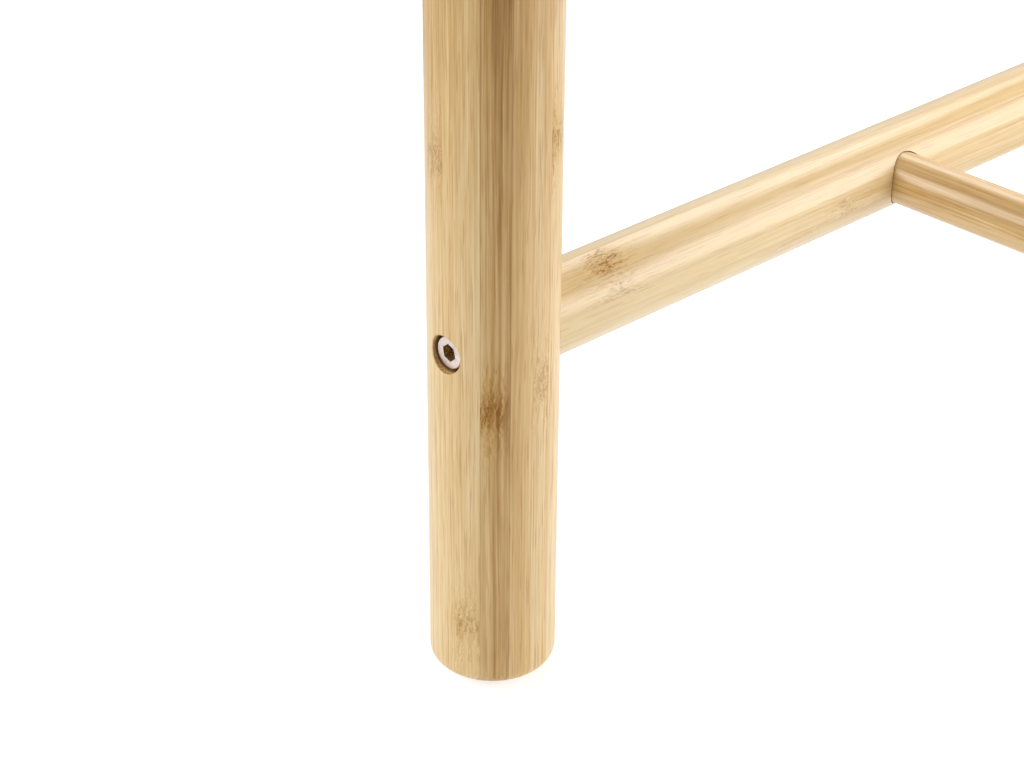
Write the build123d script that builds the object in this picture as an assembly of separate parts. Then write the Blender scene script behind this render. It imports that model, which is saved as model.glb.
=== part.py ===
"""Entryway bench in laminated bamboo, in millimetres.

Four round legs are tied by round rails, each held by one socket-head bolt through the leg and one
wooden pin. A thinner round stretcher joins the middles of the two lower side rails. Six slats,
screwed to three battens, make the seat, and the battens are bolted down onto the two long rails.

+X runs along the bench, -Y is its front, +Z is up. The origin is on the floor, under the centre.
"""

from build123d import *
import os
from dataclasses import dataclass

# ---- Driving dimensions ----------------------------------------------------------------------
BENCH_LENGTH = 1000.0
BENCH_DEPTH = 400.0
SEAT_HEIGHT = 450.0
LEG_DIAMETER = 40.0
RAIL_DIAMETER = 28.0
STRETCHER_DIAMETER = 18.0
LOWER_RAIL_HEIGHT = 117.5  # floor to the axis of a lower side rail

# ---- Feet and leg ends
PAD_THICKNESS = 2.0
PAD_DIAMETER = 26.0
PAD_EDGE = 0.4
FOOT_ROUNDING = 4.5
LEG_TOP_CHAMFER = 1.0

# ---- Seat
SLAT_COUNT = 6
SLAT_GAP = 8.0
SLAT_THICKNESS = 18.0
SLAT_EDGE = 3.0
SLAT_UNDER_EDGE = 1.2
SLAT_CORNER = 4.0
BATTEN_WIDTH = 40.0
BATTEN_THICKNESS = 20.0
BATTEN_EDGE = 1.5
BATTEN_X = (-430.0, 0.0, 430.0)
BATTEN_SETBACK = 8.0  # batten end, in from the seat's front and back

# ---- Rails
LONG_RAIL_FLAT = 2.0  # depth of the flat that a batten sits on
SIDE_RAIL_DROP = 22.0  # upper side rail below the long rails, so that their bolts pass
RAIL_SOCKET_DEPTH = 6.0  # a rail's end in the leg
STRETCHER_SOCKET_DEPTH = 10.0
RAIL_END_EDGE = 0.4
ROUND_SOCKET_PLAY = 0.15  # radial
STRETCHER_PLAY = 0.3  # radial, the thin dark line round the stretcher's end
END_PLAY = 0.1

# ---- Socket-head bolt, M6 x 50, with its washer and the threaded insert in the rail's end
BOLT_DIAMETER = 6.0
BOLT_LENGTH = 50.0
BOLT_RECESS = 2.2  # leg's surface to the face of the bolt's head
HEAD_DIAMETER = 10.4
HEAD_HEIGHT = 6.0
HEAD_EDGE = 0.3
KEY_SIZE = 5.0
KEY_DEPTH = 3.2
KEY_TURN = -10.0  # the first bolt's key socket about its axis, in degrees
KEY_TURN_STEP = 23.0  # from one bolt to the next, as each stops where it is tight
WASHER_DIAMETER = 11.8
WASHER_THICKNESS = 1.5
COUNTERBORE_DIAMETER = 12.2
COUNTERBORE_EDGE = 0.3  # chamfer of its rim
BOLT_HOLE_DIAMETER = 6.6
INSERT_DIAMETER = 10.0
INSERT_LENGTH = 15.0
INSERT_BORE = 6.2
INSERT_RIDGE = 0.6
INSERT_PITCH = 3.0
GLUE_PLAY = 0.05  # radial, round an insert or a pin

# ---- Wooden pin that stops a rail turning on its bolt
PIN_DIAMETER = 6.0
PIN_OFFSET = 9.0
PIN_IN_LEG = 10.0
PIN_IN_RAIL = 15.0
PIN_EDGE = 0.6

# ---- Button-head bolt, M6 x 30, up through a long rail into a batten
BUTTON_DIAMETER = 10.5
BUTTON_HEIGHT = 3.3
BUTTON_EDGE = 1.2
BUTTON_RECESS = 1.2
BUTTON_KEY_SIZE = 4.0
BUTTON_KEY_DEPTH = 2.0
BATTEN_BOLT_LENGTH = 30.0
BATTEN_INSERT_LENGTH = 13.0

# ---- Countersunk wood screws
SLAT_SCREW = (8.0, 4.0, 30.0)  # head diameter, shank diameter, length
STRETCHER_SCREW = (8.6, 4.5, 50.0)
SCREW_PLAY = 0.1  # radial
SCREW_RECESS = 0.3
SCREW_SPREAD = 12.0  # the two screws of a crossing, along X from its centre
CROSS_WIDTH = 1.0
CROSS_DEPTH = 1.8

# ---- Worked out from the above ---------------------------------------------------------------
LEG_RADIUS = LEG_DIAMETER / 2
RAIL_RADIUS = RAIL_DIAMETER / 2
LEG_X = BENCH_LENGTH / 2 - LEG_RADIUS
LEG_Y = BENCH_DEPTH / 2 - LEG_RADIUS
SLAT_UNDERSIDE = SEAT_HEIGHT - SLAT_THICKNESS
SLAT_WIDTH = (BENCH_DEPTH - (SLAT_COUNT - 1) * SLAT_GAP) / SLAT_COUNT
SLAT_Y = [-BENCH_DEPTH / 2 + SLAT_WIDTH / 2 + i * (SLAT_WIDTH + SLAT_GAP) for i in range(SLAT_COUNT)]
BATTEN_UNDERSIDE = SLAT_UNDERSIDE - BATTEN_THICKNESS
LONG_RAIL_HEIGHT = BATTEN_UNDERSIDE + LONG_RAIL_FLAT - RAIL_RADIUS
UPPER_SIDE_RAIL_HEIGHT = LONG_RAIL_HEIGHT - SIDE_RAIL_DROP
SOCKET_FLOOR = LEG_RADIUS - RAIL_SOCKET_DEPTH  # leg's axis to the end of its rail

UP = Vector(0, 0, 1)
SIDES = {"left": -1, "right": 1}
ENDS = {"front": -1, "back": 1}


def frame_at(origin, z_dir, x_dir=UP):
    """A working plane whose Z runs along a rod, hole or bolt."""
    return Plane(origin=origin, x_dir=x_dir, z_dir=z_dir)


def round_bar(diameter, start, end):
    """A plain cylinder on a plane's Z axis, from start to end along it."""
    bar = Cylinder(diameter / 2, end - start, align=(Align.CENTER, Align.CENTER, Align.MIN))
    return Pos(0, 0, start) * bar


def hex_key_hole(size, depth):
    """The socket for a hex key, with the drill's cone at its bottom, opening at Z = 0 towards -Z."""
    hexagon = extrude(RegularPolygon(size / 2, 6, major_radius=False), depth)
    drill_cone = Pos(0, 0, depth) * Cone(
        size / 2, 0.2, size / 4, align=(Align.CENTER, Align.CENTER, Align.MIN)
    )
    return hexagon + drill_cone


def socket_bolt():
    """M6 socket-head bolt: its head's face at Z = 0, its shank towards +Z."""
    head = round_bar(HEAD_DIAMETER, 0, HEAD_HEIGHT)
    head = chamfer(head.edges().filter_by(GeomType.CIRCLE).sort_by(Axis.Z)[0], HEAD_EDGE)
    shank = round_bar(BOLT_DIAMETER, HEAD_HEIGHT, HEAD_HEIGHT + BOLT_LENGTH)
    shank = chamfer(shank.edges().sort_by(Axis.Z)[-1], BOLT_DIAMETER / 8)
    return head + shank - hex_key_hole(KEY_SIZE, KEY_DEPTH)


def button_bolt():
    """M6 button-head bolt: its head's face at Z = 0, its shank towards +Z."""
    head = round_bar(BUTTON_DIAMETER, 0, BUTTON_HEIGHT)
    head = fillet(head.edges().filter_by(GeomType.CIRCLE).sort_by(Axis.Z)[0], BUTTON_EDGE)
    shank = round_bar(BOLT_DIAMETER, BUTTON_HEIGHT, BUTTON_HEIGHT + BATTEN_BOLT_LENGTH)
    shank = chamfer(shank.edges().sort_by(Axis.Z)[-1], BOLT_DIAMETER / 8)
    return head + shank - hex_key_hole(BUTTON_KEY_SIZE, BUTTON_KEY_DEPTH)


def threaded_insert(length):
    """Steel insert for M6, with coarse ridges outside: its mouth at Z = 0, its body towards +Z."""
    insert = round_bar(INSERT_DIAMETER, 0, length) - round_bar(INSERT_BORE, -1, length + 1)
    groove_count = int(length / INSERT_PITCH) - 1
    for i in range(groove_count):
        start = (i + 1) * INSERT_PITCH
        groove = round_bar(INSERT_DIAMETER + 1, start, start + INSERT_PITCH / 3)
        insert -= groove - round_bar(INSERT_DIAMETER - 2 * INSERT_RIDGE, start - 1, start + 2)
    return insert


def wood_screw(head_diameter, shank_diameter, length):
    """Countersunk screw with a cross recess: its head's face at Z = 0, its point towards +Z."""
    cone_height = (head_diameter - shank_diameter) / 2
    outline = Polyline(
        (0, 0),
        (head_diameter / 2, 0),
        (shank_diameter / 2, cone_height),
        (shank_diameter / 2, length - 1.5 * shank_diameter),
        (0, length),
        close=True,
    )
    screw = revolve(Plane.XZ * make_face(outline), Axis.Z)
    blade = Box(
        head_diameter * 0.55, CROSS_WIDTH, CROSS_DEPTH, align=(Align.CENTER, Align.CENTER, Align.MIN)
    )
    return screw - blade - Rot(0, 0, 90) * blade


def screw_hole(head_diameter, shank_diameter, length):
    """What a countersunk screw takes out of the wood, with its head SCREW_RECESS under Z = 0."""
    head_radius = head_diameter / 2 + SCREW_PLAY
    shank_radius = shank_diameter / 2 + SCREW_PLAY
    outline = Polyline(
        (0, -head_diameter),
        (head_radius, -head_diameter),
        (head_radius, SCREW_RECESS),
        (shank_radius, SCREW_RECESS + head_radius - shank_radius),
        (shank_radius, SCREW_RECESS + length + 1),
        (0, SCREW_RECESS + length + 1),
        close=True,
    )
    return revolve(Plane.XZ * make_face(outline), Axis.Z)


@dataclass
class RailJoint:
    """A rail's end in a leg. centre is on the leg's axis at the rail's height, and inward runs
    along the rail. pin_side is +1 where the wooden pin is above the bolt, and -1 below it.
    key_turn is how far the bolt's key socket is turned."""

    centre: Vector
    inward: Vector
    pin_side: int
    key_turn: float

    def __post_init__(self):
        self.frame = frame_at(self.centre, self.inward)
        self.head_face = BOLT_RECESS - LEG_RADIUS
        self.washer_face = self.head_face + HEAD_HEIGHT
        self.counterbore_floor = self.washer_face + WASHER_THICKNESS
        self.pin_place = Pos(self.pin_side * PIN_OFFSET, 0, 0)

    def counterbore(self):
        """What the bolt's head and washer go into."""
        return self.frame * round_bar(COUNTERBORE_DIAMETER, -LEG_RADIUS - 2, self.counterbore_floor)

    def leg_cut(self):
        """The rail's socket, the bolt's hole and the pin's hole."""
        outside = LEG_RADIUS + 2
        socket = round_bar(RAIL_DIAMETER + 2 * ROUND_SOCKET_PLAY, SOCKET_FLOOR, outside)
        hole = round_bar(BOLT_HOLE_DIAMETER, -outside, outside)
        pin_hole = round_bar(PIN_DIAMETER + 2 * GLUE_PLAY, SOCKET_FLOOR - PIN_IN_LEG, outside)
        return self.frame * (socket + hole + self.pin_place * pin_hole)

    def rail_cut(self):
        """The holes in the rail's end for the insert, the bolt's tip and the pin."""
        insert_hole = round_bar(
            INSERT_DIAMETER + 2 * GLUE_PLAY, 0, SOCKET_FLOOR + END_PLAY + INSERT_LENGTH + END_PLAY
        )
        bolt_hole = round_bar(BOLT_HOLE_DIAMETER, 0, self.washer_face + BOLT_LENGTH + 3)
        pin_hole = round_bar(PIN_DIAMETER + 2 * GLUE_PLAY, 0, SOCKET_FLOOR + PIN_IN_RAIL)
        return self.frame * (insert_hole + bolt_hole + self.pin_place * pin_hole)

    def rim_edges(self, leg_body):
        """The edges of the leg round the counterbore's mouth, once it is cut."""
        radius = COUNTERBORE_DIAMETER / 2
        rim = []
        for edge in leg_body.edges():
            points = [self.frame.to_local_coords(edge @ along) for along in (0.0, 0.3, 0.7)]
            on_bore = all(abs((point.X**2 + point.Y**2) ** 0.5 - radius) < 0.01 for point in points)
            if on_bore and all(point.Z < self.head_face for point in points):
                rim.append(edge)
        return rim

    def bolt(self):
        turned = Pos(0, 0, self.head_face) * Rot(0, 0, self.key_turn)
        return self.frame * turned * socket_bolt()

    def washer(self):
        ring = round_bar(WASHER_DIAMETER, 0, WASHER_THICKNESS)
        ring -= round_bar(BOLT_HOLE_DIAMETER, -1, WASHER_THICKNESS + 1)
        return self.frame * Pos(0, 0, self.washer_face) * ring

    def insert(self):
        return self.frame * Pos(0, 0, SOCKET_FLOOR + END_PLAY) * threaded_insert(INSERT_LENGTH)

    def pin(self):
        start = SOCKET_FLOOR - PIN_IN_LEG + END_PLAY
        bar = round_bar(PIN_DIAMETER, start, SOCKET_FLOOR + PIN_IN_RAIL - END_PLAY)
        bar = chamfer(bar.edges().filter_by(GeomType.CIRCLE), PIN_EDGE)
        return self.frame * self.pin_place * bar


def key_turn(side, end, rail_count):
    """The turn of a bolt's key socket, with rail_count joints lower down on the same leg."""
    return KEY_TURN + KEY_TURN_STEP * ((side + 1) / 2 + (end + 1) + 4 * rail_count)


def side_rail_joint(side, end, height):
    """Where a side rail, which runs front to back, meets a leg."""
    centre = Vector(side * LEG_X, end * LEG_Y, height)
    turn = key_turn(side, end, 0 if height == LOWER_RAIL_HEIGHT else 1)
    return RailJoint(centre, Vector(0, -end, 0), -1, turn)


def long_rail_joint(side, end):
    """Where a long rail, which runs left to right, meets a leg."""
    centre = Vector(side * LEG_X, end * LEG_Y, LONG_RAIL_HEIGHT)
    return RailJoint(centre, Vector(-side, 0, 0), 1, key_turn(side, end, 2))


def leg(side, end):
    """A round leg with a rounded foot, cut for its three rails."""
    place = Pos(side * LEG_X, end * LEG_Y, 0)
    bar = round_bar(LEG_DIAMETER, PAD_THICKNESS, SLAT_UNDERSIDE)
    ends = bar.edges().filter_by(GeomType.CIRCLE).sort_by(Axis.Z)
    bar = fillet(ends[0], FOOT_ROUNDING)
    bar = chamfer(bar.edges().filter_by(GeomType.CIRCLE).sort_by(Axis.Z)[-1], LEG_TOP_CHAMFER)
    body = place * Rot(0, 0, 45) * bar  # keeps the cylinder's seam clear of the counterbores
    joints = [side_rail_joint(side, end, height) for height in (LOWER_RAIL_HEIGHT, UPPER_SIDE_RAIL_HEIGHT)]
    joints.append(long_rail_joint(side, end))
    for joint in joints:
        body -= joint.counterbore()
        body = chamfer(joint.rim_edges(body), COUNTERBORE_EDGE)
    for joint in joints:
        body -= joint.leg_cut()
    return body


def rail_between(joint_a, joint_b):
    """A round rail from one leg's socket floor to the other's, drilled for both of its joints."""
    length = (joint_b.centre - joint_a.centre).length
    gap = SOCKET_FLOOR + END_PLAY
    bar = round_bar(RAIL_DIAMETER, gap, length - gap)
    bar = chamfer(bar.edges().filter_by(GeomType.CIRCLE), RAIL_END_EDGE)
    return joint_a.frame * bar - joint_a.rail_cut() - joint_b.rail_cut()


def stretcher_screw_frame(side):
    """On the outside of a lower side rail, pointing into the stretcher's end."""
    start = Vector(side * (LEG_X + RAIL_RADIUS), 0, LOWER_RAIL_HEIGHT)
    return frame_at(start, Vector(-side, 0, 0))


def stretcher_end(side):
    """X of the stretcher's end, at the bottom of its socket in a side rail."""
    return side * (LEG_X - RAIL_RADIUS + STRETCHER_SOCKET_DEPTH)


def lower_side_rail(side):
    """A lower side rail, with the stretcher's socket and screw hole at its middle."""
    rail = rail_between(*[side_rail_joint(side, end, LOWER_RAIL_HEIGHT) for end in ENDS.values()])
    socket_frame = frame_at(Vector(stretcher_end(side), 0, LOWER_RAIL_HEIGHT), Vector(-side, 0, 0))
    rail -= socket_frame * round_bar(STRETCHER_DIAMETER + 2 * STRETCHER_PLAY, 0, RAIL_DIAMETER)
    return rail - stretcher_screw_frame(side) * screw_hole(*STRETCHER_SCREW)


def lower_stretcher():
    """The thin round bar between the middles of the lower side rails."""
    half = stretcher_end(1) - END_PLAY
    bar = round_bar(STRETCHER_DIAMETER, -half, half)
    bar = chamfer(bar.edges().filter_by(GeomType.CIRCLE), RAIL_END_EDGE)
    body = frame_at(Vector(0, 0, LOWER_RAIL_HEIGHT), Vector(1, 0, 0)) * bar
    for side in SIDES.values():
        body -= stretcher_screw_frame(side) * screw_hole(*STRETCHER_SCREW)
    return body


def upper_side_rail(side):
    return rail_between(
        *[side_rail_joint(side, end, UPPER_SIDE_RAIL_HEIGHT) for end in ENDS.values()]
    )


def batten_bolt_frame(x, end):
    """On the underside of a long rail, at a batten, pointing up."""
    start = Vector(x, end * LEG_Y, LONG_RAIL_HEIGHT - RAIL_RADIUS + BUTTON_RECESS)
    return frame_at(start, UP, Vector(1, 0, 0))


def upper_long_rail(end):
    """A long rail, with a flat and a bolt hole for each batten."""
    rail = rail_between(*[long_rail_joint(side, end) for side in SIDES.values()])
    for x in BATTEN_X:
        flat = Box(
            BATTEN_WIDTH + 2 * END_PLAY,
            RAIL_DIAMETER,
            RAIL_RADIUS,
            align=(Align.CENTER, Align.CENTER, Align.MIN),
        )
        rail -= Pos(x, end * LEG_Y, BATTEN_UNDERSIDE) * flat
        counterbore = round_bar(COUNTERBORE_DIAMETER, -RAIL_RADIUS, BUTTON_HEIGHT)
        hole = round_bar(BOLT_HOLE_DIAMETER, 0, RAIL_DIAMETER + 2)
        rail -= batten_bolt_frame(x, end) * (counterbore + hole)
    return rail


def crossing_screws(batten_x, slat_y):
    """Where the two screws of one crossing start, on the batten's underside."""
    return [Pos(batten_x + side * SCREW_SPREAD, slat_y, BATTEN_UNDERSIDE) for side in SIDES.values()]


def seat_slat(y):
    """A seat slat. The outer corners of the first and last follow the legs under them."""
    slat = Pos(0, y, SLAT_UNDERSIDE) * Box(
        BENCH_LENGTH, SLAT_WIDTH, SLAT_THICKNESS, align=(Align.CENTER, Align.CENTER, Align.MIN)
    )
    seat_edge = BENCH_DEPTH / 2 - SLAT_EDGE
    outer = slat.edges().filter_by(Axis.Z).filter_by(lambda edge: abs(edge.center().Y) > seat_edge)
    if outer:
        slat = fillet(outer, LEG_RADIUS)
    inner = slat.edges().filter_by(Axis.Z).filter_by(lambda edge: abs(edge.center().Y) < seat_edge)
    sharp = inner.filter_by(lambda edge: abs(abs(edge.center().X) - BENCH_LENGTH / 2) < SLAT_EDGE)
    slat = fillet(sharp, SLAT_CORNER)
    slat = fillet(slat.faces().sort_by(Axis.Z)[-1].edges(), SLAT_EDGE)
    slat = fillet(slat.faces().sort_by(Axis.Z)[0].edges(), SLAT_UNDER_EDGE)
    for x in BATTEN_X:
        for place in crossing_screws(x, y):
            slat -= place * screw_hole(*SLAT_SCREW)
    return slat


def seat_batten(x):
    """A cross batten under the slats, drilled for its screws and its two bolts."""
    length = BENCH_DEPTH - 2 * BATTEN_SETBACK
    batten = Pos(x, 0, BATTEN_UNDERSIDE) * Box(
        BATTEN_WIDTH, length, BATTEN_THICKNESS, align=(Align.CENTER, Align.CENTER, Align.MIN)
    )
    batten = chamfer(batten.faces().sort_by(Axis.Z)[0].edges(), BATTEN_EDGE)
    for y in SLAT_Y:
        for place in crossing_screws(x, y):
            batten -= place * screw_hole(*SLAT_SCREW)
    insert_hole = round_bar(INSERT_DIAMETER + 2 * GLUE_PLAY, -1, BATTEN_INSERT_LENGTH + END_PLAY)
    for end in ENDS.values():
        batten -= Pos(x, end * LEG_Y, BATTEN_UNDERSIDE) * insert_hole
    return batten


def foot_pad(side, end):
    """A felt pad under a leg."""
    pad = round_bar(PAD_DIAMETER, 0, PAD_THICKNESS)
    pad = chamfer(pad.edges().filter_by(GeomType.CIRCLE).sort_by(Axis.Z)[0], PAD_EDGE)
    return Pos(side * LEG_X, end * LEG_Y, 0) * pad


def batten_hardware():
    """The bolts up through the long rails, and their inserts in the battens."""
    bolts, inserts = [], []
    for x in BATTEN_X:
        for end in ENDS.values():
            bolts.append(batten_bolt_frame(x, end) * button_bolt())
            mouth = Pos(x, end * LEG_Y, BATTEN_UNDERSIDE)
            inserts.append(mouth * threaded_insert(BATTEN_INSERT_LENGTH))
    return bolts, inserts


def rail_hardware(joints):
    """The fasteners of a set of rail joints, by kind."""
    return {
        "bolts": [joint.bolt() for joint in joints],
        "washers": [joint.washer() for joint in joints],
        "inserts": [joint.insert() for joint in joints],
        "pins": [joint.pin() for joint in joints],
    }


def all_nodes():
    """Every node's name, with its solids."""
    nodes = {}
    for end_name, end in ENDS.items():
        for side_name, side in SIDES.items():
            nodes[f"leg_{end_name}_{side_name}"] = [leg(side, end)]
            nodes[f"foot_pad_{end_name}_{side_name}"] = [foot_pad(side, end)]
        nodes[f"upper_long_rail_{end_name}"] = [upper_long_rail(end)]
    for side_name, side in SIDES.items():
        nodes[f"lower_side_rail_{side_name}"] = [lower_side_rail(side)]
        nodes[f"upper_side_rail_{side_name}"] = [upper_side_rail(side)]
    nodes["lower_stretcher"] = [lower_stretcher()]
    for i, y in enumerate(SLAT_Y):
        nodes[f"seat_slat_{i + 1}"] = [seat_slat(y)]
    for name, x in zip(("left", "middle", "right"), BATTEN_X):
        nodes[f"seat_batten_{name}"] = [seat_batten(x)]

    corners = [(side, end) for side in SIDES.values() for end in ENDS.values()]
    joint_sets = {
        "lower_side_rail": [side_rail_joint(*corner, LOWER_RAIL_HEIGHT) for corner in corners],
        "upper_side_rail": [side_rail_joint(*corner, UPPER_SIDE_RAIL_HEIGHT) for corner in corners],
        "upper_long_rail": [long_rail_joint(*corner) for corner in corners],
    }
    for set_name, joints in joint_sets.items():
        for kind, solids in rail_hardware(joints).items():
            nodes[f"{set_name}_{kind}"] = solids
    nodes["batten_bolts"], nodes["batten_inserts"] = batten_hardware()
    slat_screw = Pos(0, 0, SCREW_RECESS) * wood_screw(*SLAT_SCREW)
    places = [place for x in BATTEN_X for y in SLAT_Y for place in crossing_screws(x, y)]
    nodes["slat_screws"] = [place * slat_screw for place in places]
    stretcher_screw = Pos(0, 0, SCREW_RECESS) * wood_screw(*STRETCHER_SCREW)
    nodes["stretcher_screws"] = [
        stretcher_screw_frame(side) * stretcher_screw for side in SIDES.values()
    ]
    return nodes


def main():
    os.makedirs("parts", exist_ok=True)
    for name, shapes in all_nodes().items():
        solids = [solid for shape in shapes for solid in shape.solids()]
        shape = solids[0] if len(solids) == 1 else Compound(solids)
        export_step(shape, f"parts/{name}.step")


main()
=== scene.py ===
"""Looks of the bamboo entryway bench: laminated bamboo, plated bolts, felt pads, studio and camera."""

import math

import bpy
from mathutils import Matrix, Vector


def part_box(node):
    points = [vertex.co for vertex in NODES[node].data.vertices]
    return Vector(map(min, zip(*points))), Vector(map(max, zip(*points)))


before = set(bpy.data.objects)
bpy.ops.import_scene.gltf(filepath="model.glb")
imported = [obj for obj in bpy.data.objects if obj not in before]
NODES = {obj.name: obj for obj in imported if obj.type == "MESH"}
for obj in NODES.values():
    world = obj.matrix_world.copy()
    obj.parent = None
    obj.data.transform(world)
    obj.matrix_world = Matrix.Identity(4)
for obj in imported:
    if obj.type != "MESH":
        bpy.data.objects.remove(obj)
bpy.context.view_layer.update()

X_AXIS, Y_AXIS, Z_AXIS = Vector((1, 0, 0)), Vector((0, 1, 0)), Vector((0, 0, 1))
MM = 0.001
BORE_RADIUS = 6.1 * MM  # of a counterbore for a bolt's head
SOCKET_RADIUS = 2.9 * MM  # of the hex socket in a large bolt's head, over its corners
SMALL_SOCKET_RADIUS = 2.35 * MM
BOLT_FACE = 17.8 * MM  # a large bolt's face, from its leg's axis


# ---- Camera ----------------------------------------------------------------------------------
LENS, SENSOR = 83.229, 36.0  # focal length and sensor width, in mm
YAW, PITCH, ROLL = 0.8130, 0.5110, -0.0074
CAMERA_FROM_LEG = (0.00566, -0.62436, 0.44835)  # aside, ahead and up from the leg's lower end
HEADING = Vector((-math.sin(YAW), math.cos(YAW), 0))
LEVEL = Vector((math.cos(YAW), math.sin(YAW), 0))


def middle(node):
    low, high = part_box(node)
    return (low + high) / 2


def leg_foot(node):
    """The point on a leg's axis at the leg's lower end."""
    centre = middle(node)
    return Vector((centre.x, centre.y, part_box(node)[0].z))


def make_camera():
    forward = HEADING * math.cos(PITCH) - Z_AXIS * math.sin(PITCH)
    down = -HEADING * math.sin(PITCH) - Z_AXIS * math.cos(PITCH)
    right = LEVEL * math.cos(ROLL) + down * math.sin(ROLL)
    down = down * math.cos(ROLL) - LEVEL * math.sin(ROLL)
    aside, ahead, height = CAMERA_FROM_LEG
    place = leg_foot("leg_front_left") + LEVEL * aside + HEADING * ahead + Z_AXIS * height
    data = bpy.data.cameras.new("camera")
    data.sensor_fit = "HORIZONTAL"
    data.sensor_width = SENSOR
    data.lens = LENS
    data.clip_start, data.clip_end = 0.01, 50.0
    camera = bpy.data.objects.new("camera", data)
    columns = Matrix((right, -down, -forward)).transposed()
    camera.matrix_world = Matrix.Translation(place) @ columns.to_4x4()
    bpy.context.scene.collection.objects.link(camera)
    bpy.context.scene.camera = camera


# ---- Studio ----------------------------------------------------------------------------------
def softbox(name, aside, ahead, elevation, distance, size, radiance):
    """A soft light aimed at the front left leg. aside and ahead set its heading from the leg."""
    aim = leg_foot("leg_front_left") + Z_AXIS * 0.12
    away = (LEVEL * aside + HEADING * ahead).normalized() * math.cos(elevation)
    away += Z_AXIS * math.sin(elevation)
    data = bpy.data.lights.new(name, "AREA")
    data.shape = "RECTANGLE"
    data.size, data.size_y = size
    data.energy = radiance * math.pi * size[0] * size[1]
    light = bpy.data.objects.new(name, data)
    light.location = aim + away * distance
    light.rotation_euler = (-away).to_track_quat("-Z", "Y").to_euler()
    light.visible_camera = False
    bpy.context.scene.collection.objects.link(light)


def make_studio():
    world = bpy.data.worlds.new("studio")
    world.use_nodes = True
    background = world.node_tree.nodes["Background"]
    background.inputs["Color"].default_value = (1, 1, 1, 1)
    background.inputs["Strength"].default_value = 0.26
    bpy.context.scene.world = world
    bpy.context.scene.view_settings.view_transform = "Standard"

    softbox("right_softbox", 1.0, 0.05, math.radians(25), 1.5, (1.0, 1.2), 4.6)
    softbox("left_softbox", -1.0, -0.25, math.radians(34), 1.6, (1.5, 0.8), 4.6)
    softbox("back_softbox", 0.35, 1.0, math.radians(38), 2.0, (1.4, 0.5), 4.5)
    softbox("backdrop", 0.0, 1.0, math.radians(9), 2.4, (3.0, 0.7), 0.9)
    floor_glow()
    make_floor()


def floor_glow():
    """The bright table top round the bench, which lights it from below."""
    data = bpy.data.lights.new("floor_glow", "AREA")
    data.shape = "RECTANGLE"
    data.size, data.size_y = 1.9, 1.3
    data.energy = 0.49 * math.pi * data.size * data.size_y
    light = bpy.data.objects.new("floor_glow", data)
    light.location = (0, 0, 0.0005)
    light.rotation_euler = (math.pi, 0, 0)
    light.visible_camera = False
    bpy.context.scene.collection.objects.link(light)


def make_floor():
    bpy.ops.mesh.primitive_plane_add(size=40)
    floor = bpy.context.object
    floor.name = "floor"
    g = Graph("floor")
    seen = g.add("LightPath", {}, "Is Camera Ray")
    floor.data.materials.append(
        g.finish(
            base_color=(0.5, 0.5, 0.5, 1),
            roughness=0.9,
            emission_color=(1, 1, 1, 1),
            emission_strength=g.math("MULTIPLY", seen, 0.72),
        )
    )


# ---- Material building -----------------------------------------------------------------------
def linear(r, g, b):
    """An sRGB colour, 0 to 255, as the linear colour that a shader takes."""
    return [((c / 255 + 0.055) / 1.055) ** 2.4 for c in (r, g, b)] + [1.0]


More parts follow.
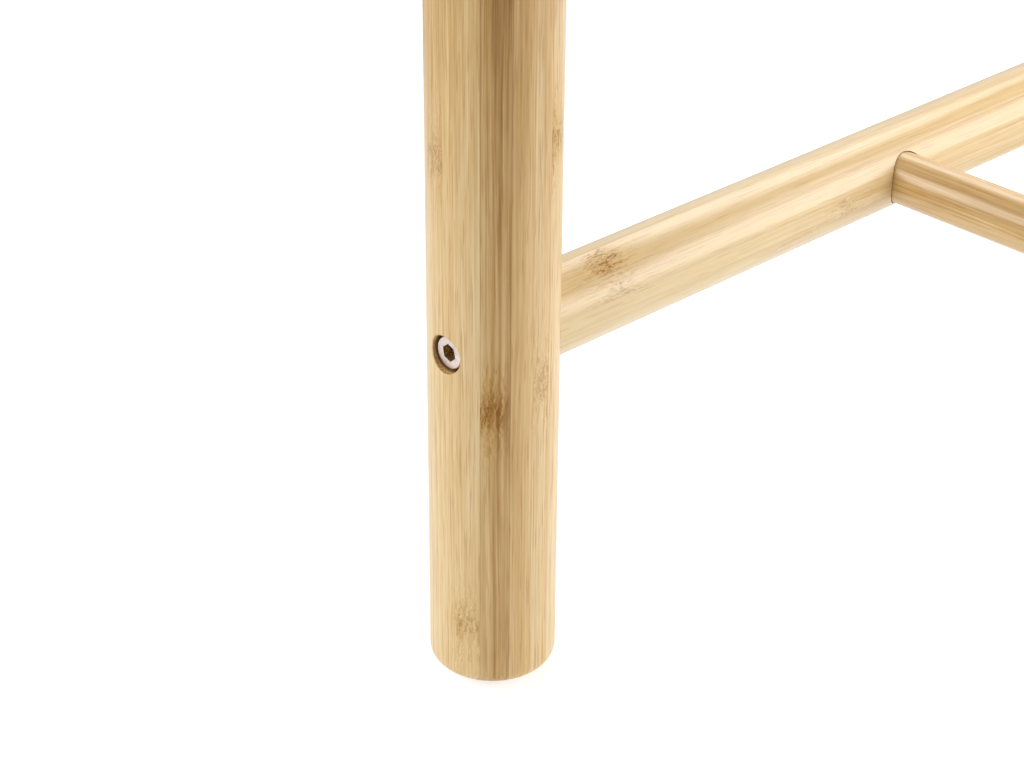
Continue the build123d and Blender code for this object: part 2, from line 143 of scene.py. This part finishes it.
class Graph:
    """One material's nodes. Each call takes numbers, vectors or sockets, and returns a socket."""

    def __init__(self, name):
        self.material = bpy.data.materials.new(name)
        self.material.use_nodes = True
        self.tree = self.material.node_tree
        self.tree.nodes.clear()

    def add(self, kind, inputs, output=0, **settings):
        node = self.tree.nodes.new("ShaderNode" + kind)
        for setting, value in settings.items():
            setattr(node, setting, value)
        for key, value in inputs.items():
            if isinstance(value, bpy.types.NodeSocket):
                self.tree.links.new(value, node.inputs[key])
            else:
                node.inputs[key].default_value = value
        return node.outputs[output]

    def math(self, operation, *values, clamp=False):
        return self.add("Math", dict(enumerate(values)), operation=operation, use_clamp=clamp)

    def vector(self, operation, *values, output=0):
        return self.add("VectorMath", dict(enumerate(values)), output, operation=operation)

    def total(self, *terms):
        """The sum of (weight, socket) terms, each socket counted from 0.5."""
        result = None
        for weight, socket in terms:
            term = self.math("MULTIPLY_ADD", socket, weight, -0.5 * weight)
            result = term if result is None else self.math("ADD", result, term)
        return result

    def noise(self, vector, detail=2.0, roughness=0.5, colour=False):
        inputs = {"Vector": vector, "Scale": 1.0, "Detail": detail, "Roughness": roughness}
        return self.add("TexNoise", inputs, "Color" if colour else "Fac")

    def random(self, vector):
        """Three random numbers, as a colour, for each place where the vector is constant."""
        return self.add("TexWhiteNoise", {"Vector": vector}, "Color", noise_dimensions="3D")

    def split(self, vector):
        node = self.tree.nodes.new("ShaderNodeSeparateXYZ")
        self.tree.links.new(vector, node.inputs[0])
        return node.outputs[0], node.outputs[1], node.outputs[2]

    def join(self, x, y, z):
        return self.add("CombineXYZ", {0: x, 1: y, 2: z})

    def ramp(self, value, stops, constant=False):
        node = self.tree.nodes.new("ShaderNodeValToRGB")
        self.tree.links.new(value, node.inputs[0])
        node.color_ramp.interpolation = "CONSTANT" if constant else "LINEAR"
        elements = node.color_ramp.elements
        for i, (place, colour) in enumerate(stops):
            element = elements[i] if i < len(elements) else elements.new(place)
            element.position = place
            element.color = colour
        return node.outputs[0]

    def fade(self, value, low, high, start=0.0, end=1.0):
        """A smooth step from start, where value is low, to end, where it is high."""
        inputs = {0: value, 1: low, 2: high, 3: start, 4: end}
        return self.add("MapRange", inputs, interpolation_type="SMOOTHSTEP")

    def mix(self, factor, a, b, blend="MIX"):
        node = self.tree.nodes.new("ShaderNodeMix")
        node.data_type = "RGBA"
        node.blend_type = blend
        for socket, value in ((node.inputs[0], factor), (node.inputs[6], a), (node.inputs[7], b)):
            if isinstance(value, bpy.types.NodeSocket):
                self.tree.links.new(value, socket)
            else:
                socket.default_value = value
        return node.outputs[2]

    def bump(self, height, distance, strength=1.0):
        return self.add("Bump", {"Height": height, "Distance": distance, "Strength": strength})

    def finish(self, **inputs):
        """Ends in a Principled shader: base_color feeds its Base Color, and so on."""
        named = {key.replace("_", " ").title().replace("Ior", "IOR"): inputs[key] for key in inputs}
        shader = self.add("BsdfPrincipled", named)
        self.tree.links.new(shader, self.tree.nodes.new("ShaderNodeOutputMaterial").inputs[0])
        return self.material


# ---- Laminated bamboo ------------------------------------------------------------------------
LAYER = 6.8 * MM  # thickness of one layer of strips
STRIP = 20.0 * MM  # width of one strip
INTERNODE = 260.0 * MM  # from knuckle to knuckle along a strip
KNUCKLE_REACH = 9.5 * MM  # of a knuckle's sharp middle, each way along the strip
STAIN_REACH = 25.0 * MM
BAMBOO_TONES = (
    (0.00, linear(96, 55, 18)),
    (0.25, linear(150, 105, 36)),
    (0.50, linear(198, 156, 90)),
    (0.75, linear(229, 196, 138)),
    (1.00, linear(250, 229, 184)),
)
VESSEL = linear(182, 114, 40)
DARK_FLECK = linear(132, 80, 34)
PALE_WOOD = linear(231, 212, 168)
GLUE_LINE = linear(132, 84, 36)
WARM_TINT = linear(252, 238, 206)
TORN_TONES = ((0.35, linear(164, 114, 60)), (0.65, linear(236, 192, 128)))  # of a drilled wall
BORE_SHADE = linear(34, 20, 10)


class Strips:
    """Bamboo strips pressed into layers, as sockets of one material's graph. along runs with the
    fibres, and through crosses the layers. layout is the place along through of a glue line, how
    far the strips are shifted sideways, and the layers up from that line: each one's tone, its
    knuckle's place along the bar, the knuckle's place across the strip, 0 to 1, and the knuckle's
    strength. Without layers, all of that is random."""

    def __init__(self, g, place, along, through, seed, tone, layout):
        first_glue, shift, layers = layout
        self.n = g.vector("DOT_PRODUCT", place, through, output="Value")
        self.w = g.vector("DOT_PRODUCT", place, through.cross(along), output="Value")
        self.a = g.vector("DOT_PRODUCT", place, along, output="Value")
        self.layer = g.math("DIVIDE", g.math("SUBTRACT", self.n, first_glue), LAYER)
        self.layer_number = g.math("FLOOR", self.layer)
        if not layers:
            shift = g.random(g.join(self.layer_number, seed, 3.5))
        self.strip = g.math("ADD", g.math("DIVIDE", self.w, STRIP), shift)
        self.strip_number = g.math("FLOOR", self.strip)
        self.aside = g.math("SUBTRACT", self.strip, self.strip_number)
        self.chance = g.random(g.join(self.layer_number, self.strip_number, seed))
        tone_chance, knuckle_chance, mark_chance = g.split(self.chance)
        self.warmth = mark_chance
        if layers:
            knuckle = self.lay_out(g, layers, along)
        else:
            knuckle = knuckle_chance
            self.tone = g.math("MULTIPLY_ADD", tone_chance, 0.16, tone - 0.08)
            self.mark = g.math("MULTIPLY_ADD", mark_chance, 0.4, 0.3)
            self.strength = g.math("SUBTRACT", 1.05, self.tone)
        from_knuckle = g.math("MULTIPLY_ADD", knuckle, -INTERNODE, self.a)
        self.from_knuckle = g.math("WRAP", from_knuckle, INTERNODE / 2, -INTERNODE / 2)
        self.shade_layers(g)
        self.find_glue(g)

    def lay_out(self, g, layers, along):
        """Sets each layer's tone, mark and strength, and returns its knuckle's place."""
        count = len(layers)
        stops = [(i / count, (t, k / INTERNODE, m, s)) for i, (t, k, m, s) in enumerate(layers)]
        place = g.math("DIVIDE", g.math("ADD", self.layer_number, 0.5), count)
        chosen = g.ramp(place, stops, constant=True)
        self.tone, knuckle, mark = g.split(chosen)
        self.strength = chosen.node.outputs["Alpha"]
        self.mark = g.math("MULTIPLY_ADD", self.strip_number, -0.5, mark)
        # painted light and shade: a standing bar's strips are painted lighter low down and darker higher up
        painted_light_by_height = g.fade(self.a, 0.12, 0.25, 0.145 * along.z, -0.18 * along.z)
        self.tone = g.math("MULTIPLY_ADD", painted_light_by_height, g.math("SUBTRACT", 1.15, self.tone), self.tone)
        # painted light and shade: a side rail's strips are painted lighter towards the front and darker
        # further back
        front = g.fade(self.a, -0.06, 0.12, 0.14 * along.y, -0.12 * along.y)
        self.tone = g.math("ADD", self.tone, front)
        return g.math("MULTIPLY_ADD", self.strip_number, -0.6, knuckle)

    def shade_layers(self, g):
        """The cane's outside is denser and darker, and the layers face each other by turns. A
        dark strip is darkest at its core."""
        depth = g.math("SUBTRACT", g.math("SUBTRACT", self.layer, self.layer_number), 0.5)
        facing = g.math("FLOORED_MODULO", self.layer_number, 2.0)
        facing = g.math("MULTIPLY_ADD", facing, -0.22, 0.11)
        core = g.math("SUBTRACT", 0.40, g.math("ABSOLUTE", depth))
        core = g.math("MULTIPLY", core, g.fade(self.tone, 0.50, 0.85, -0.36, 0.0))
        self.tone = g.math("ADD", self.tone, g.math("MULTIPLY_ADD", depth, facing, core))

    def find_glue(self, g):
        """Sets the glue lines: one between layers, and a fainter one between strips."""
        glue = g.math(
            "MAXIMUM",
            g.fade(g.math("PINGPONG", self.layer, 0.5), 0.004, 0.034, 1.0, 0.0),
            g.fade(g.math("PINGPONG", self.strip, 0.5), 0.001, 0.008, 0.6, 0.0),
        )
        self.glue = g.math("MULTIPLY", glue, g.fade(self.tone, 0.55, 0.90, 1.0, 0.25))


def knuckle_shades(g, strips, local):
    """How far into a knuckle a point is: its sharp middle, and the wider stain round it."""
    ragged = g.noise(g.vector("MULTIPLY", local, (480, 480, 110)), 3.0, 0.6)
    away = g.math("ABSOLUTE", strips.from_knuckle)
    away = g.math("ADD", away, g.math("MULTIPLY_ADD", ragged, 0.022, -0.011))
    aside = g.math("ABSOLUTE", g.math("SUBTRACT", strips.aside, strips.mark))
    beside = g.fade(g.math("MULTIPLY_ADD", ragged, 0.25, aside), 0.22, 0.48, 1.0, 0.0)
    middle_part = g.math("MULTIPLY", g.fade(away, 0.0, KNUCKLE_REACH, 1.0, 0.0), beside)
    stain = g.math("MULTIPLY", g.fade(away, 0.0, STAIN_REACH, 1.0, 0.0), beside)
    return middle_part, stain


def bore_shades(g, place, bores):
    """How far a point is into the drilled wall of any of the bores, and the painted shade on that wall down
    beside the bolt's head.
    """
    inside, painted_bore_shade = None, None
    for centre, axis in bores:
        from_centre = g.vector("SUBTRACT", place, centre)
        level = g.math("ABSOLUTE", g.vector("DOT_PRODUCT", from_centre, axis, output="Value"))
        beside = g.vector("MULTIPLY", from_centre, Vector((1, 1, 1)) - axis)
        radius = g.vector("LENGTH", beside, output="Value")
        wall = g.fade(radius, BORE_RADIUS + 0.02 * MM, BORE_RADIUS + 0.10 * MM, 1.0, 0.0)
        # painted shade: the wall further in than the bolt's face is painted dark
        near_face = g.fade(level, BOLT_FACE - 0.2 * MM, BOLT_FACE + 0.25 * MM, 1.0, 0.0)
        low = g.math("MULTIPLY", wall, near_face)
        inside = wall if inside is None else g.math("MAXIMUM", inside, wall)
        painted_bore_shade = low if painted_bore_shade is None else g.math("MAXIMUM", painted_bore_shade, low)
    return inside, painted_bore_shade


def fibre_place(g, strips, local, stain):
    """local, bent as the fibres sway and swirl round knuckles, and moved on for each strip."""
    swirl = g.noise(g.vector("MULTIPLY", local, (380, 380, 210)), 2.0, colour=True)
    swirl = g.vector("SUBTRACT", swirl, (0.5, 0.5, 0.5))
    bend = g.add("VectorMath", {0: swirl, "Scale": g.math("MULTIPLY", stain, 0.0034)}, operation="SCALE")
    sway = g.noise(g.vector("MULTIPLY", local, (24, 24, 11)), 1.0, colour=True)
    sway = g.vector("MULTIPLY", g.vector("SUBTRACT", sway, (0.5, 0.5, 0.5)), (0.0022, 0.0022, 0))
    grain = g.vector("ADD", g.vector("ADD", local, bend), sway)
    return g.vector("MULTIPLY_ADD", strips.chance, (0.9, 0.9, 0.9), grain)


def fleck_shades(g, strips, grain, knuckle):
    """The short dark flecks in the middle of a knuckle."""
    fleck = g.noise(g.vector("MULTIPLY", grain, (1500, 1500, 380)), 2.0, 0.6)
    fleck = g.math("MULTIPLY", g.fade(fleck, 0.48, 0.60), knuckle)
    return g.math("MULTIPLY", fleck, g.fade(strips.strength, 0.05, 0.45, 0.25, 0.75))


def wood_value(g, grain, fine, medium):
    """The wood's tone away from knuckles, from its fine lines to its broad bands."""
    broad = g.noise(g.vector("MULTIPLY", grain, (150, 150, 3)), 1.0)
    mottle = g.noise(g.vector("MULTIPLY", grain, (300, 300, 48)), 2.0, 0.6)
    return g.total((0.58, fine), (0.22, medium), (0.12, broad), (0.16, mottle))


def bamboo(name, origin, looks, seed, layout, bores):
    """Laminated bamboo; see Strips and bar_looks. bores are (centre, axis) of its counterbores."""
    grain_axes, tone, paleness, (coat, roughness, specular) = looks
    g = Graph(name)
    object_place = g.add("TexCoord", {}, "Object")
    place = g.vector("SUBTRACT", object_place, origin)
    strips = Strips(g, place, *grain_axes, seed, tone, layout)
    local = g.join(strips.n, strips.w, strips.a)
    knuckle, stain = knuckle_shades(g, strips, local)
    grain = fibre_place(g, strips, local, stain)
    fine = g.noise(g.vector("MULTIPLY", grain, (1500, 1500, 13)), 2.0, 0.65)
    medium = g.noise(g.vector("MULTIPLY", grain, (560, 560, 6)), 2.0, 0.55)
    fleck = fleck_shades(g, strips, grain, knuckle)

    contrast = g.fade(strips.tone, 0.45, 0.75, 1.7, 1.0 + 0.6 * paleness)
    value = g.math("MULTIPLY_ADD", wood_value(g, grain, fine, medium), contrast, strips.tone)
    marked = g.math("MULTIPLY", stain, strips.strength)
    value = g.math("MULTIPLY_ADD", marked, -0.28, value)
    value = g.math("MULTIPLY_ADD", g.math("MULTIPLY", knuckle, strips.strength), -0.26, value)
    dash = g.noise(g.vector("MULTIPLY", grain, (1700, 1700, 58)), 1.5)
    dash = g.fade(dash, 0.56, 0.68)

    colour = g.ramp(value, BAMBOO_TONES)
    colour = g.mix(g.math("MULTIPLY", strips.warmth, 0.4), colour, WARM_TINT, "MULTIPLY")
    colour = g.mix(g.math("MULTIPLY", dash, 0.34), colour, VESSEL)
    colour = g.mix(g.math("MULTIPLY_ADD", marked, -paleness, paleness), colour, PALE_WOOD)
    colour = g.mix(fleck, colour, DARK_FLECK)
    colour = g.mix(g.math("MULTIPLY", strips.glue, 0.42), colour, GLUE_LINE)

    height = g.total((0.5, fine), (0.3, medium))
    height = g.math("MULTIPLY_ADD", strips.glue, -0.5, height)
    height = g.math("MULTIPLY_ADD", fleck, -0.4, height)
    dull = g.math("MULTIPLY", stain, g.fade(strips.strength, 0.05, 0.45))
    rough = g.math("MULTIPLY_ADD", fine, 0.16, roughness)
    rough = g.math("MULTIPLY_ADD", fleck, 0.15, rough)
    if bores:
        inside, painted_bore_shade = bore_shades(g, object_place, bores)
        torn = g.noise(g.vector("MULTIPLY", object_place, (2600, 2600, 2600)), 2.0)
        colour = g.mix(g.math("MULTIPLY", inside, 0.8), colour, g.ramp(torn, TORN_TONES))
        # painted shade on the bore's wall beside the bolt's head
        colour = g.mix(g.math("MULTIPLY", painted_bore_shade, 0.6), colour, BORE_SHADE)
        dull = g.math("MAXIMUM", dull, inside)
        rough = g.math("MULTIPLY_ADD", inside, 0.4, rough)
        height = g.math("MULTIPLY_ADD", g.math("MULTIPLY", torn, inside), 3.0, height)
    return g.finish(
        base_color=colour,
        roughness=rough,
        normal=g.bump(height, 0.00006, 0.6),
        specular_ior_level=g.fade(dull, 0.0, 1.0, specular, 0.15),
        coat_weight=g.fade(dull, 0.0, 1.0, coat, 0.0),
        coat_roughness=0.22,
    )


def dress(node, material):
    for slot in NODES[node].material_slots:
        slot.material = material


# (tone, knuckle's place along the bar, its place across the strip, its strength) of each layer
FRONT_LEFT_LEG = (
    (0.76, 0.023, 0.38, 0.20),
    (0.57, 0.099, 0.60, 0.37),
    (0.75, 0.250, 0.50, 0.15),
    (0.85, 0.106, 0.95, 0.15),
    (0.90, 0.183, 0.95, 0.28),
    (0.84, 0.050, 0.50, 0.20),
)
LEFT_SIDE_RAIL = (
    (0.80, 0.180, 0.50, 0.12),
    (0.84, 0.216, 0.90, 0.12),
    (0.84, 0.190, 0.60, 0.12),
    (0.86, 0.035, 0.58, 0.16),
    (0.91, 0.140, 0.80, 0.40),
)
STRETCHER = (
    (0.68, 0.200, 0.50, 0.20),
    (0.69, 0.190, 0.50, 0.20),
    (0.72, 0.210, 0.50, 0.20),
)
LAYOUTS = {
    "leg_front_left": (-16.2 * MM - LAYER, 0.0, FRONT_LEFT_LEG),
    "lower_side_rail_left": (-2.5 * LAYER, 0.5, LEFT_SIDE_RAIL),
    "lower_stretcher": (-1.5 * LAYER, 0.5, STRETCHER),
}


# (coat weight, roughness, specular level) of a finish
GLOSSY = (0.5, 0.27, 0.5)
LACQUER = (0.28, 0.27, 0.5)
SATIN = (0.04, 0.42, 0.25)


def bar_looks(node):
    """((along, through), tone, paleness, finish) of a bamboo node, or None."""
    if node.startswith("leg_"):
        return (Z_AXIS, Y_AXIS), 0.76, 0.0, LACQUER
    if node.endswith(("side_rail_left", "side_rail_right")):
        return (-Y_AXIS, Z_AXIS), 0.84, 0.45, GLOSSY
    if node.endswith(("long_rail_front", "long_rail_back")):
        return (X_AXIS, Z_AXIS), 0.80, 0.30, GLOSSY
    if node == "lower_stretcher":
        return (X_AXIS, Z_AXIS), 0.68, 0.10, GLOSSY
    if node.startswith("seat_slat_"):
        return (X_AXIS, Z_AXIS), 0.76, 0.10, SATIN
    if node.startswith("seat_batten_"):
        return (Y_AXIS, Z_AXIS), 0.76, 0.0, SATIN
    return None


def leg_bores(node):
    """(centre, axis) of the three counterbores of a leg."""
    centre = middle(node)
    heights = (
        (middle("lower_side_rail_bolts").z, Y_AXIS),
        (middle("upper_side_rail_bolts").z, Y_AXIS),
        (middle("upper_long_rail_bolts").z, X_AXIS),
    )
    return [(Vector((centre.x, centre.y, height)), axis) for height, axis in heights]


def dress_bamboo():
    for seed, node in enumerate(sorted(NODES)):
        looks = bar_looks(node)
        if not looks:
            continue
        origin, bores = middle(node), ()
        if node.startswith("leg_"):
            origin, bores = leg_foot(node), leg_bores(node)
        layout = LAYOUTS.get(node, (LAYER / 2, 0.0, ()))
        dress(node, bamboo(node + "_bamboo", origin, looks, seed + 0.5, layout, bores))


# ---- Metal, pins and pads --------------------------------------------------------------------
def bolt_steel(name, centre, spacing, axis, face, sign, socket_radius):
    """Nickel-plated bolts in a grid: centre is on one bolt's axis, spacing parts them, and face is
    their faces' distance from the middle along axis, with sign +1 where they face away from it."""
    g = Graph(name)
    place = g.add("TexCoord", {}, "Object")
    level = g.math("ABSOLUTE", g.vector("DOT_PRODUCT", place, axis, output="Value"))
    depth = g.math("MULTIPLY", g.math("SUBTRACT", face, level), sign)
    half = Vector(spacing) / 2
    beside = g.vector("WRAP", g.vector("SUBTRACT", place, centre), half, -half)
    beside = g.vector("MULTIPLY", beside, Vector((1, 1, 1)) - axis)
    radius = g.vector("LENGTH", beside, output="Value")

    below = g.fade(depth, 0.04 * MM, 0.12 * MM)
    socket = g.math("MULTIPLY", below, g.fade(radius, socket_radius, socket_radius + 0.1 * MM, 1.0, 0.0))
    turning = g.noise(g.join(g.math("MULTIPLY", radius, 5200), 0.0, 0.0), 2.0)
    smudge = g.noise(g.vector("MULTIPLY", place, (700, 700, 700)), 3.0)
    burr = g.noise(g.vector("MULTIPLY", place, (1900, 1900, 1900)), 3.0, 0.7)
    # the plated face; its pinkish cast is a painted reflection of the warm wood round it
    bright = g.ramp(smudge, ((0.3, linear(226, 208, 202)), (0.7, linear(248, 236, 231))))
    # the socket's dark oxide, whose near-white top stop paints glints: painted highlights
    oxide_and_glint_tints = ((0.30, linear(84, 66, 28)), (0.54, linear(176, 138, 62)), (0.62, linear(255, 244, 214)))
    dark = g.ramp(burr, oxide_and_glint_tints)
    rough = g.math("MULTIPLY_ADD", turning, 0.20, 0.24)
    return g.finish(
        base_color=g.mix(socket, bright, dark),
        metallic=g.fade(socket, 0.0, 1.0, 0.92, 0.75),
        roughness=g.math("MULTIPLY_ADD", socket, 0.14, rough),
        normal=g.bump(g.math("MULTIPLY_ADD", burr, g.math("MULTIPLY", socket, 2.0), turning), 0.00003, 0.6),
    )


def plated_steel(name, light, dark):
    """Zinc-plated small hardware, with a mottled passivated colour."""
    g = Graph(name)
    place = g.add("TexCoord", {}, "Object")
    mottle = g.noise(g.vector("MULTIPLY", place, (600, 600, 600)), 3.0, 0.6)
    scratch = g.noise(g.vector("MULTIPLY", place, (3000, 3000, 300)), 2.0)
    return g.finish(
        base_color=g.ramp(mottle, ((0.3, dark), (0.7, light))),
        metallic=0.9,
        roughness=g.math("MULTIPLY_ADD", scratch, 0.25, 0.22),
        normal=g.bump(scratch, 0.00002, 0.5),
    )


def pin_wood(name):
    """Pale beech, streaked by its fine grain."""
    g = Graph(name)
    place = g.add("TexCoord", {}, "Object")
    rays = g.noise(g.vector("MULTIPLY", place, (2400, 260, 2400)), 2.0)
    return g.finish(
        base_color=g.ramp(rays, ((0.3, linear(196, 156, 108)), (0.7, linear(232, 202, 158)))),
        roughness=0.6,
        normal=g.bump(rays, 0.00005, 0.5),
    )


def pad_felt(name):
    """Pressed brown felt: a tangle of short fibres."""
    g = Graph(name)
    place = g.add("TexCoord", {}, "Object")
    tangle = g.noise(g.vector("MULTIPLY", place, (420, 420, 420)), 3.0, colour=True)
    bent = g.vector("MULTIPLY_ADD", tangle, (0.003, 0.003, 0.003), place)
    fibre = g.noise(g.vector("MULTIPLY", bent, (5200, 1400, 5200)), 2.0)
    clump = g.noise(g.vector("MULTIPLY", place, (300, 300, 300)), 2.0)
    value = g.math("ADD", g.total((0.8, fibre), (0.4, clump)), 0.5)
    return g.finish(
        base_color=g.ramp(value, ((0.2, linear(104, 86, 68)), (0.8, linear(178, 158, 132)))),
        roughness=0.95,
        sheen_weight=0.4,
        normal=g.bump(value, 0.00015, 0.8),
    )


def dress_hardware():
    far = 9.0  # a spacing wider than the bench, for one row of bolts
    leg = middle("leg_back_right")
    for row in ("lower_side_rail", "upper_side_rail"):
        node = row + "_bolts"
        centre = Vector((leg.x, 0, middle(node).z))
        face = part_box(node)[1].y
        dress(node, bolt_steel(node, centre, (2 * leg.x, far, far), Y_AXIS, face, 1.0, SOCKET_RADIUS))
    node = "upper_long_rail_bolts"
    centre = Vector((0, leg.y, middle(node).z))
    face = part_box(node)[1].x
    dress(node, bolt_steel(node, centre, (far, 2 * leg.y, far), X_AXIS, face, 1.0, SOCKET_RADIUS))
    node = "batten_bolts"
    batten = middle("seat_batten_right")
    centre = Vector((batten.x, leg.y, 0))
    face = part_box(node)[0].z
    spacing = (batten.x, 2 * leg.y, far)
    dress(node, bolt_steel(node, centre, spacing, Z_AXIS, face, -1.0, SMALL_SOCKET_RADIUS))

    zinc = plated_steel("zinc_steel", linear(214, 214, 212), linear(168, 170, 172))
    yellow_zinc = plated_steel("yellow_zinc_steel", linear(226, 196, 120), linear(176, 142, 76))
    pins = pin_wood("beech_pins")
    for node in NODES:
        if node.endswith(("_washers", "_inserts")):
            dress(node, zinc)
        if node.endswith("_screws"):
            dress(node, yellow_zinc)
        if node.endswith("_pins"):
            dress(node, pins)
        if node.startswith("foot_pad_"):
            dress(node, pad_felt(node + "_felt"))


make_camera()
make_studio()
dress_bamboo()
dress_hardware()
